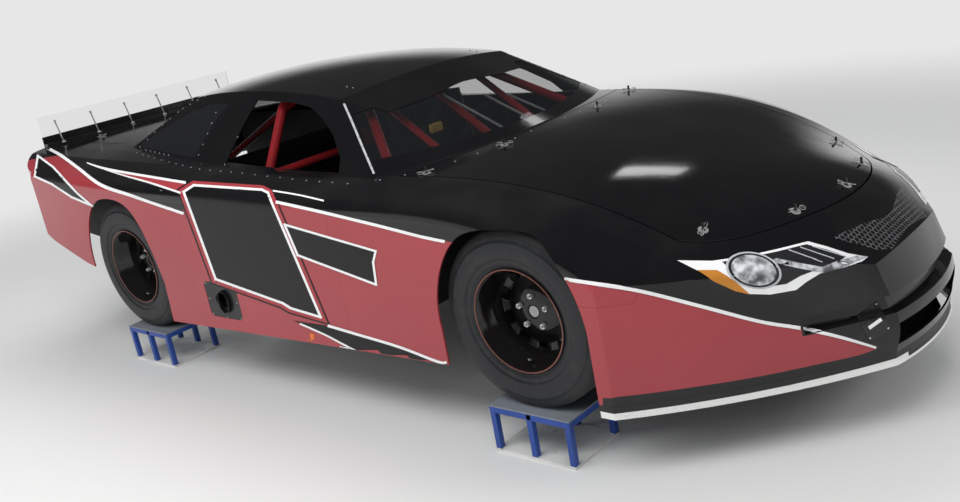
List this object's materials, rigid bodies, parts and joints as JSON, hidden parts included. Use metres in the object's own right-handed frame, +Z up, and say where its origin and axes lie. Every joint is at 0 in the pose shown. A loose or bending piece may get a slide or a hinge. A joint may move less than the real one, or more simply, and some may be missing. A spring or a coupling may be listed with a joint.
{
  "type": "short-track stock car on wheel stands",
  "caption": "Low, wide racing car with full bodywork, roll cage, lift-off hood and deck lid, clear rear spoiler, turning wheels and steered front wheels, set on four square-tube wheel stands.",
  "frame": {"origin": "on the floor under the middle of the car's length and width", "axes": "+X towards the nose, +Y to the car's left, +Z up"},
  "size_m": [4.9684, 2.0068, 1.4039],
  "materials": {
    "body_red": "muted red gloss paint",
    "body_black": "black gloss paint",
    "lip_white": "white flexible strip",
    "clear": "clear polycarbonate",
    "cage_red": "dark red powder coat",
    "frame_black": "black paint",
    "sheet": "bare sheet",
    "seat_black": "black cover",
    "iron": "cast block",
    "steel": "bare steel",
    "rim_black": "black gloss powder coat",
    "tyre": "slick racing rubber",
    "stand_blue": "blue paint"
  },
  "bodies": {
    "car_body": {"nose": "body_red", "nose_lip": "lip_white", "cowl_panel": "body_black", "rear_deck": "body_black", "tail_cover": "body_red", "roof": "body_black", "windshield": "clear", "rear_window": "clear", "roll_cage": "cage_red", "floor_pan": "sheet", "firewall": "sheet", "rear_bulkhead": "sheet", "seat": "seat_black", "dash_panel": "frame_black", "steering_wheel": "seat_black", "engine_block": "iron", "fuel_cell": "frame_black", "spoiler_base": "frame_black", "spoiler_blade": "clear", "exhaust_outlet": "frame_black", "chassis_frame": "frame_black", "rear_axle": "frame_black", "fender_right": "body_black", "door_right": "body_red", "quarter_right": "body_red", "quarter_window_right": "clear", "front_arms_right": "steel", "stand_front_right": "stand_blue", "stand_rear_right": "stand_blue", "fender_left": "body_black", "door_left": "body_red", "quarter_left": "body_red", "quarter_window_left": "clear", "front_arms_left": "steel", "stand_front_left": "stand_blue", "stand_rear_left": "stand_blue"},
    "hood": {"hood": "body_black"},
    "deck_lid": {"deck_lid": "body_black"},
    "knuckle_right": {"knuckle_right": "steel"},
    "knuckle_left": {"knuckle_left": "steel"},
    "wheel_front_right": {"tyre_front_right": "tyre", "rim_front_right": "rim_black"},
    "wheel_front_left": {"tyre_front_left": "tyre", "rim_front_left": "rim_black"},
    "wheel_rear_right": {"tyre_rear_right": "tyre", "rim_rear_right": "rim_black"},
    "wheel_rear_left": {"tyre_rear_left": "tyre", "rim_rear_left": "rim_black"}
  },
  "joints": [
    {"name": "hood_lift", "type": "slide", "parent": "car_body", "child": "hood", "axis": [0, 0, 1], "range_m": [0, 0.6]},
    {"name": "deck_lid_lift", "type": "slide", "parent": "car_body", "child": "deck_lid", "axis": [0, 0, 1], "range_m": [0, 0.4]},
    {"name": "steer_right", "type": "hinge", "parent": "car_body", "child": "knuckle_right", "pos_m": [1.335, -0.655, 0.5463], "axis": [0, 0, 1], "range_deg": [-22, 22]},
    {"name": "steer_left", "type": "hinge", "parent": "car_body", "child": "knuckle_left", "pos_m": [1.335, 0.655, 0.5463], "axis": [0, 0, 1], "range_deg": [-22, 22]},
    {"name": "wheel_front_right_spin", "type": "hinge", "parent": "knuckle_right", "child": "wheel_front_right", "pos_m": [1.335, -0.83, 0.5463], "axis": [0, 1, 0], "continuous": true},
    {"name": "wheel_front_left_spin", "type": "hinge", "parent": "knuckle_left", "child": "wheel_front_left", "pos_m": [1.335, 0.83, 0.5463], "axis": [0, 1, 0], "continuous": true},
    {"name": "wheel_rear_right_spin", "type": "hinge", "parent": "car_body", "child": "wheel_rear_right", "pos_m": [-1.285, -0.83, 0.5463], "axis": [0, 1, 0], "continuous": true},
    {"name": "wheel_rear_left_spin", "type": "hinge", "parent": "car_body", "child": "wheel_rear_left", "pos_m": [-1.285, 0.83, 0.5463], "axis": [0, 1, 0], "continuous": true}
  ],
  "couplings": [
    {"joint": "steer_left", "follows": "steer_right", "ratio": 1}
  ]
}
